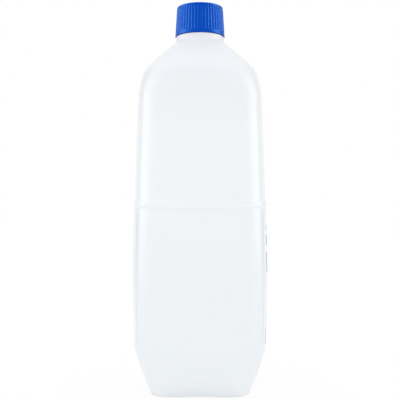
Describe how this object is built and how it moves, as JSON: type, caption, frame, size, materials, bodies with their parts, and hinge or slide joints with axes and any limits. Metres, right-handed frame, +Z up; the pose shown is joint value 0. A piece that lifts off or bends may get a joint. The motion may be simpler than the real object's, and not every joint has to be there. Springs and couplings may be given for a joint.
{
  "type": "demineralized water bottle",
  "caption": "Tall square blow-moulded bottle of translucent plastic with tapered foot, body rib, sloping shoulder, side labels, water and a blue ribbed screw cap.",
  "frame": {"origin": "centre of the standing ring, on the surface that the bottle stands on", "axes": "+Z up through the neck; the labelled sides face +X and -X; the plain side of the picture faces -Y"},
  "size_m": [0.104, 0.1076, 0.2915],
  "materials": {
    "bottle_polyethylene": "satin",
    "cap_polypropylene": "gloss",
    "liner_foam": "matte",
    "label_film": "satin",
    "water": "gloss"
  },
  "bodies": {
    "bottle": {"bottle": "bottle_polyethylene", "neck": "bottle_polyethylene", "front_label": "label_film", "back_label": "label_film", "water": "water"},
    "liner": {"cap_liner": "liner_foam"},
    "cap": {"cap": "cap_polypropylene"}
  },
  "joints": [
    {"name": "cap_rise", "type": "slide", "parent": "bottle", "child": "liner", "axis": [0, 0, 1], "range_m": [0, 0.006]},
    {"name": "cap_turn", "type": "hinge", "parent": "liner", "child": "cap", "pos_m": [0, 0, 0.28], "axis": [0, 0, 1], "range_deg": [0, 540]}
  ],
  "couplings": [
    {"joint": "cap_rise", "follows": "cap_turn", "m_per_rad": 0.00063662}
  ]
}
